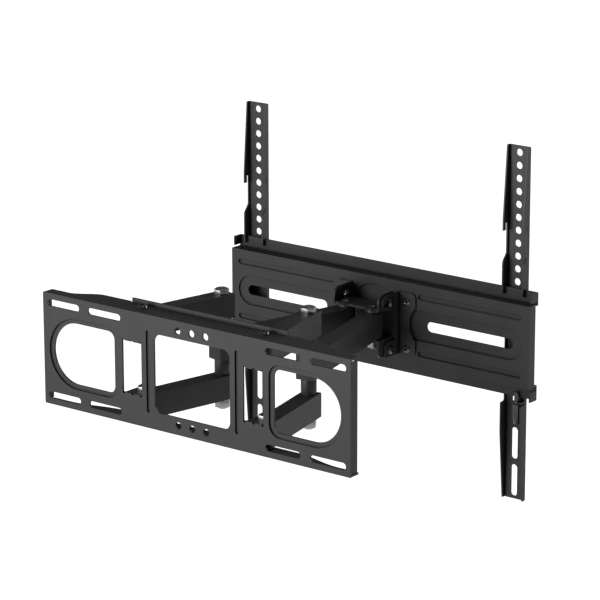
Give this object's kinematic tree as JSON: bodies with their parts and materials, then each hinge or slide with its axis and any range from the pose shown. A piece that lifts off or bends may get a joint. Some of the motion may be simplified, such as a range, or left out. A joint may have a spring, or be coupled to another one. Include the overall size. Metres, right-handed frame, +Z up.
{
  "type": "full motion tv wall mount",
  "caption": "Black steel television wall mount: a wall plate, two folding double arms, a tilting head plate and hook-on brackets that slide sideways.",
  "frame": {"origin": "middle of the wall plate, on its face against the wall", "axes": "+X along the wall, to the right when looking out from the wall along +Y; +Y from the wall to the television; +Z up"},
  "size_m": [0.462, 0.38, 0.4445],
  "materials": {
    "powder_coat": "matte black powder coat",
    "black_screw": "glossy black",
    "zinc_steel": "satin zinc plate",
    "nylon": "matte black nylon"
  },
  "bodies": {
    "wall": {"wall_plate": "powder_coat", "wall_pivot_bolts_left": "black_screw", "wall_pivot_nuts_left": "zinc_steel", "wall_pivot_washers_left": "nylon", "wall_pivot_bolts_right": "black_screw", "wall_pivot_nuts_right": "zinc_steel", "wall_pivot_washers_right": "nylon"},
    "rear_arm_left": {"rear_link_upper_left": "powder_coat", "rear_link_lower_left": "powder_coat", "elbow_bolt_left": "zinc_steel", "elbow_nut_left": "zinc_steel", "elbow_washer_left": "zinc_steel", "elbow_spacers_left": "powder_coat"},
    "front_arm_left": {"front_link_left": "powder_coat"},
    "rear_arm_right": {"rear_link_upper_right": "powder_coat", "rear_link_lower_right": "powder_coat", "elbow_bolt_right": "zinc_steel", "elbow_nut_right": "zinc_steel", "elbow_washer_right": "zinc_steel", "elbow_spacers_right": "powder_coat"},
    "front_arm_right": {"front_link_right": "powder_coat"},
    "swivel_head": {"swivel_bracket": "powder_coat", "tilt_screws": "black_screw", "tilt_nuts": "zinc_steel", "head_pivot_bolt_left": "black_screw", "head_pivot_nut_left": "zinc_steel", "head_pivot_washers_left": "nylon", "head_pivot_bolt_right": "black_screw", "head_pivot_nut_right": "zinc_steel", "head_pivot_washers_right": "nylon"},
    "tilt_head": {"tilt_bracket_left": "powder_coat", "tilt_bracket_right": "powder_coat", "plate_screws": "black_screw", "plate_nuts": "zinc_steel", "head_plate": "powder_coat"},
    "bracket_left": {"tv_bracket_left": "powder_coat"},
    "lock_left": {"security_screw_left": "black_screw"},
    "bracket_right": {"tv_bracket_right": "powder_coat"},
    "lock_right": {"security_screw_right": "black_screw"}
  },
  "joints": [
    {"name": "arm_fold", "type": "hinge", "parent": "wall", "child": "rear_arm_left", "pos_m": [-0.0915, 0.02, 0], "axis": [0, 0, 1], "range_deg": [0, 84]},
    {"name": "rear_fold_right", "type": "hinge", "parent": "wall", "child": "rear_arm_right", "pos_m": [0.0915, 0.02, 0], "axis": [0, 0, 1], "range_deg": [-84.5, 0.5]},
    {"name": "elbow_left", "type": "hinge", "parent": "rear_arm_left", "child": "front_arm_left", "pos_m": [-0.066, 0.136, 0], "axis": [0, 0, 1], "range_deg": [-142.04, 0.5]},
    {"name": "elbow_right", "type": "hinge", "parent": "rear_arm_right", "child": "front_arm_right", "pos_m": [0.066, 0.136, 0], "axis": [0, 0, 1], "range_deg": [-0.5, 142.04]},
    {"name": "head_pivot_left", "type": "hinge", "parent": "front_arm_left", "child": "swivel_head", "pos_m": [-0.021, 0.323, 0], "axis": [0, 0, 1], "range_deg": [-0.5, 58.04]},
    {"name": "head_tilt", "type": "hinge", "parent": "swivel_head", "child": "tilt_head", "pos_m": [0, 0.3365, -0.0336], "axis": [1, 0, 0], "range_deg": [-10, 5]},
    {"name": "bracket_slide_left", "type": "slide", "parent": "tilt_head", "child": "bracket_left", "axis": [1, 0, 0], "range_m": [-0.008, 0.15]},
    {"name": "bracket_slide_right", "type": "slide", "parent": "tilt_head", "child": "bracket_right", "axis": [-1, 0, 0], "range_m": [-0.015, 0.143]},
    {"name": "lock_slide_left", "type": "slide", "parent": "bracket_left", "child": "lock_left", "axis": [0, 0, -1], "range_m": [0, 0.009]},
    {"name": "lock_slide_right", "type": "slide", "parent": "bracket_right", "child": "lock_right", "axis": [0, 0, -1], "range_m": [0, 0.009]}
  ],
  "couplings": [
    {"joint": "rear_fold_right", "follows": "arm_fold", "ratio": -1},
    {"joint": "elbow_left", "follows": "arm_fold", "ratio": -1.685},
    {"joint": "elbow_right", "follows": "arm_fold", "ratio": 1.685},
    {"joint": "head_pivot_left", "follows": "arm_fold", "ratio": 0.685}
  ]
}
